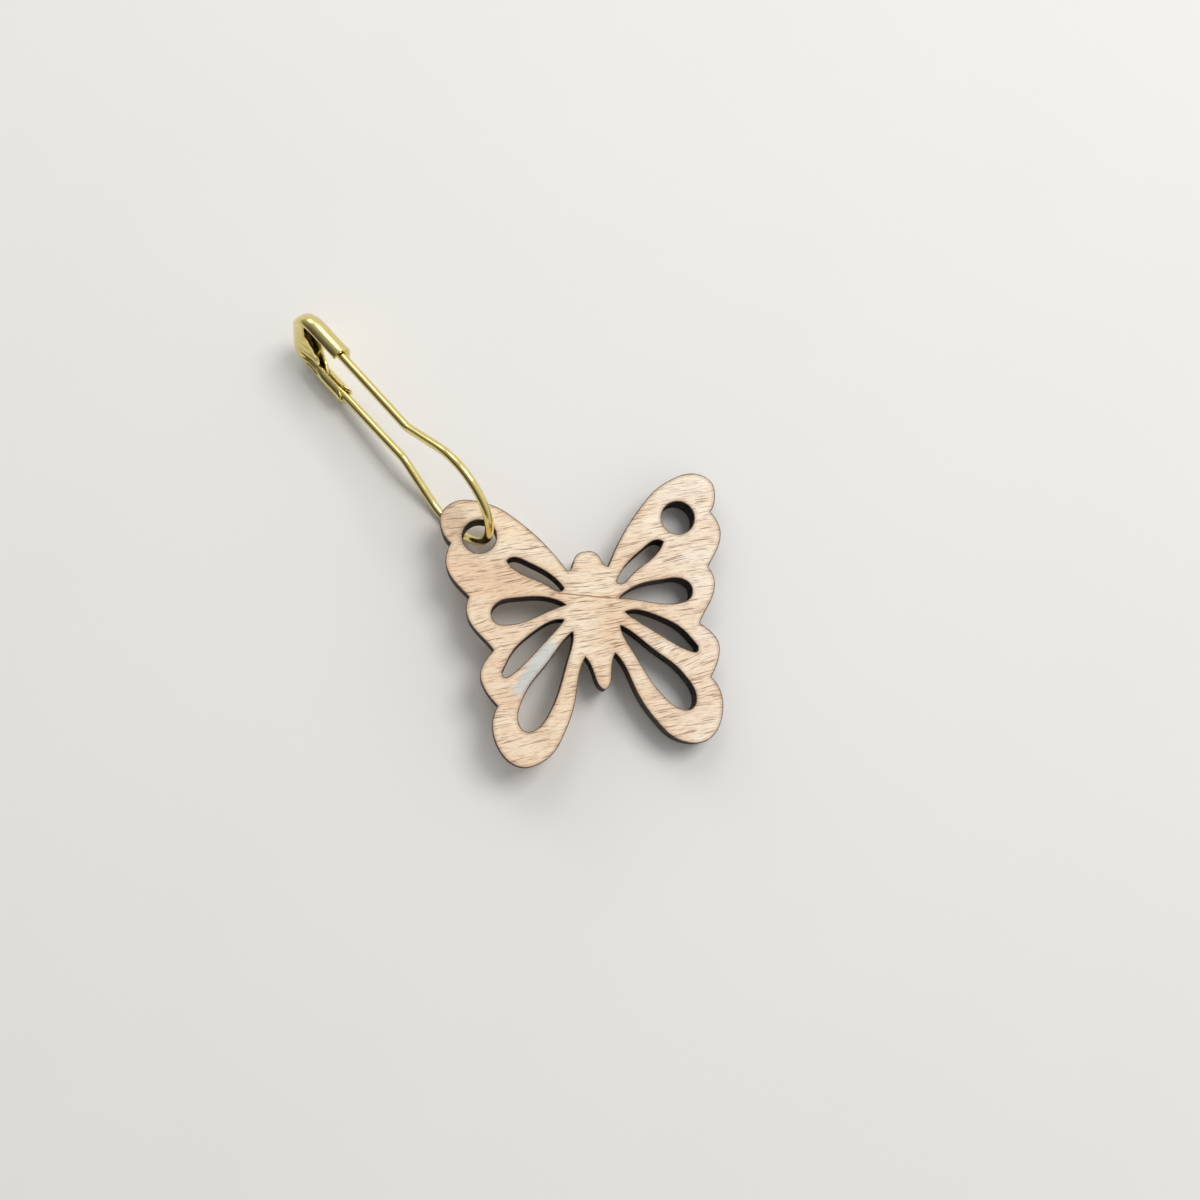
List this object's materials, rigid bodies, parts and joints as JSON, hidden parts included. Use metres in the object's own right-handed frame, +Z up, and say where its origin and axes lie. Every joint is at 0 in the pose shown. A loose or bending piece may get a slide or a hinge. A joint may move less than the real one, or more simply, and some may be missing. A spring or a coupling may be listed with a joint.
{
  "type": "stitch marker",
  "caption": "Butterfly-shaped wooden charm with cut-out wings, hung through a wing hole on a small coilless bulb pin that opens and closes round yarn or a needle.",
  "frame": {"origin": "the middle of the marker's box on the table that it lies on, with the table at z = 0", "axes": "+X along the pin from its cap to its bulb and on to the charm, +Z up from the table; the pin leans on its fixed leg and the pointed leg is on top"},
  "size_m": [0.0426, 0.0244, 0.0084],
  "materials": {
    "gold_wire": "bright plated",
    "gold_sheet": "bright plated",
    "charm_wood": "bare laser-cut wood with burnt edges"
  },
  "bodies": {
    "pin": {"fixed_leg": "gold_wire", "cap": "gold_sheet"},
    "point_leg": {"pointed_leg": "gold_wire"},
    "charm": {"butterfly_charm": "charm_wood"}
  },
  "joints": [
    {"name": "pin_flex", "type": "hinge", "parent": "pin", "child": "point_leg", "pos_m": [0.00028, -0.00245, 0.00456], "axis": [-0.0819, -0.342, 0.9361], "range_deg": [0, 25], "stiffness_Nm_per_rad": 0.05},
    {"name": "charm_swing", "type": "hinge", "parent": "pin", "child": "charm", "pos_m": [-0.00024, -0.00311, 0.00269], "axis": [0.055, 0.0809, 0.9952], "range_deg": [-100, 100]}
  ]
}
